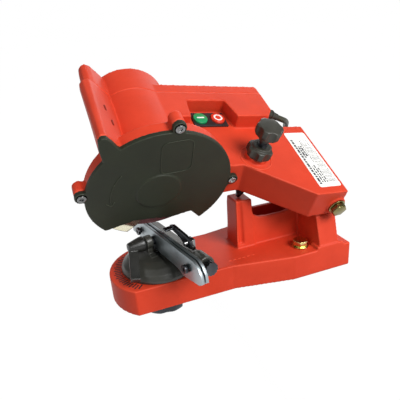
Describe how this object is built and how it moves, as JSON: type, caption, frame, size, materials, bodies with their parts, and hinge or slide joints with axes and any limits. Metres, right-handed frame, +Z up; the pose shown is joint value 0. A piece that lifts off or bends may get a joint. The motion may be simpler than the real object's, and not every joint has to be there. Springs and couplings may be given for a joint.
{
  "type": "electric chainsaw sharpener",
  "caption": "Bench-mounted electric sharpener for saw chain: a red motor head with a thin grinding wheel swings down on a tilted pivot over a turning chain vise.",
  "frame": {"origin": "midway between the two bench bolts, on the underside of the base", "axes": "+X from the vise towards the pivot, +Y away from the operator, +Z up"},
  "size_m": [0.371, 0.2366, 0.2274],
  "materials": {
    "red_paint": "satin",
    "guard_black": "satin",
    "steel_zinc": "satin",
    "steel_bright": "satin",
    "steel_dark": "satin",
    "steel_rail": "satin",
    "vise_paint": "satin",
    "bush_nylon": "matte",
    "knob_black": "matte",
    "knob_blue_black": "matte",
    "panel_black": "matte",
    "button_green": "gloss",
    "button_red": "gloss",
    "label_white": "satin",
    "shield_clear": "gloss",
    "core_steel": "matte",
    "copper_wire": "satin",
    "commutator_copper": "satin",
    "holder_brass": "satin",
    "carbon": "matte",
    "fan_plastic": "matte",
    "wheel_ceramic": "matte",
    "rubber_black": "matte",
    "lead_pvc": "matte",
    "pin_nickel": "satin"
  },
  "bodies": {
    "stand": {"base": "red_paint", "bench_bolts": "steel_zinc", "bench_washers": "steel_zinc", "pivot_bushes": "bush_nylon", "lead_coil": "lead_pvc", "plug": "rubber_black", "plug_pins": "pin_nickel"},
    "arm": {"arm_housing": "red_paint", "rear_cover": "red_paint", "housing_screws": "steel_bright", "pivot_bolt": "steel_zinc", "pivot_nut": "steel_zinc", "pivot_washers": "steel_bright", "guard_cover": "guard_black", "guard_screws": "steel_bright", "spark_shield": "shield_clear", "shield_screw": "steel_bright", "rating_label": "label_white", "switch_panel": "panel_black", "switch_body": "panel_black", "stator_core": "core_steel", "field_windings": "copper_wire", "carbon_brushes": "carbon", "brush_holders": "holder_brass", "front_bearing": "steel_bright", "rear_bearing": "steel_bright", "strain_relief": "rubber_black", "mains_lead": "lead_pvc"},
    "rotor": {"spindle": "steel_bright", "rotor_core": "core_steel", "armature_windings": "copper_wire", "commutator": "commutator_copper", "cooling_fan": "fan_plastic", "inner_flange": "steel_bright", "outer_flange": "steel_bright", "arbor_nut": "steel_dark", "grinding_wheel": "wheel_ceramic"},
    "start": {"start_button": "button_green"},
    "stop": {"stop_button": "button_red"},
    "depth": {"depth_screw": "steel_dark"},
    "depth_turn": {"depth_knob": "knob_black"},
    "depth_lock": {"depth_lock_knob": "knob_black"},
    "vise": {"vise_body": "vise_paint", "vise_stud": "steel_bright", "fixed_rail": "steel_rail", "rail_screws": "steel_dark", "stop_pin": "steel_bright"},
    "vise_lock": {"vise_lock_knob": "knob_blue_black"},
    "jaw": {"moving_rail": "steel_rail", "clamp_screw": "steel_bright"},
    "clamp": {"clamp_lever": "knob_black"},
    "pawl": {"chain_stop": "steel_dark"},
    "adjuster": {"stop_adjuster": "steel_dark"}
  },
  "joints": [
    {"name": "arm_swing", "type": "hinge", "parent": "stand", "child": "arm", "pos_m": [0.0269, -0.01044, 0.09085], "axis": [0, 0.866, 0.5], "range_deg": [0, 40]},
    {"name": "wheel_spin", "type": "hinge", "parent": "arm", "child": "rotor", "pos_m": [-0.1336, -0.02119, 0.11467], "axis": [0, 0.866, 0.5], "continuous": true},
    {"name": "start_press", "type": "slide", "parent": "arm", "child": "start", "axis": [-0.165, 0.4931, -0.8541], "range_m": [0, 0.0016], "stiffness_N_per_m": 600, "springref_m": -0.001},
    {"name": "stop_press", "type": "slide", "parent": "arm", "child": "stop", "axis": [-0.165, 0.4931, -0.8541], "range_m": [0, 0.0016], "stiffness_N_per_m": 600, "springref_m": -0.001},
    {"name": "depth_feed", "type": "slide", "parent": "arm", "child": "depth", "axis": [0.165, -0.4931, 0.8541], "range_m": [0, 0.00375]},
    {"name": "depth_knob_turn", "type": "hinge", "parent": "depth", "child": "depth_turn", "pos_m": [-0.0401, -0.0212, 0.11949], "axis": [0.165, -0.4931, 0.8541], "range_deg": [0, 1080]},
    {"name": "depth_lock_turn", "type": "hinge", "parent": "depth", "child": "depth_lock", "pos_m": [-0.0401, -0.0212, 0.11949], "axis": [0.165, -0.4931, 0.8541], "range_deg": [0, 180]},
    {"name": "vise_turn", "type": "hinge", "parent": "stand", "child": "vise", "pos_m": [-0.135, 0, 0.025], "axis": [0, 0, 1], "range_deg": [-47, 23]},
    {"name": "vise_lock_turn", "type": "hinge", "parent": "vise", "child": "vise_lock", "pos_m": [-0.135, 0, -0.005], "axis": [0, 0, 1], "range_deg": [0, 180]},
    {"name": "jaw_slide", "type": "slide", "parent": "vise", "child": "jaw", "axis": [-0.9781, -0.2079, 0], "range_m": [0, 0.001]},
    {"name": "clamp_turn", "type": "hinge", "parent": "jaw", "child": "clamp", "pos_m": [-0.15456, -0.00416, 0.052], "axis": [-0.9781, -0.2079, 0], "range_deg": [0, 60]},
    {"name": "pawl_flip", "type": "hinge", "parent": "vise", "child": "pawl", "pos_m": [-0.11705, -0.04117, 0.063], "axis": [0.9781, 0.2079, 0], "range_deg": [0, 60]},
    {"name": "adjuster_turn", "type": "hinge", "parent": "vise", "child": "adjuster", "pos_m": [-0.10981, -0.05599, 0.049], "axis": [0.2079, -0.9781, 0], "range_deg": [0, 720]}
  ],
  "couplings": [
    {"joint": "depth_knob_turn", "follows": "depth_feed", "rad_per_m": 5026.5},
    {"joint": "clamp_turn", "follows": "jaw_slide", "rad_per_m": 1047.2}
  ]
}
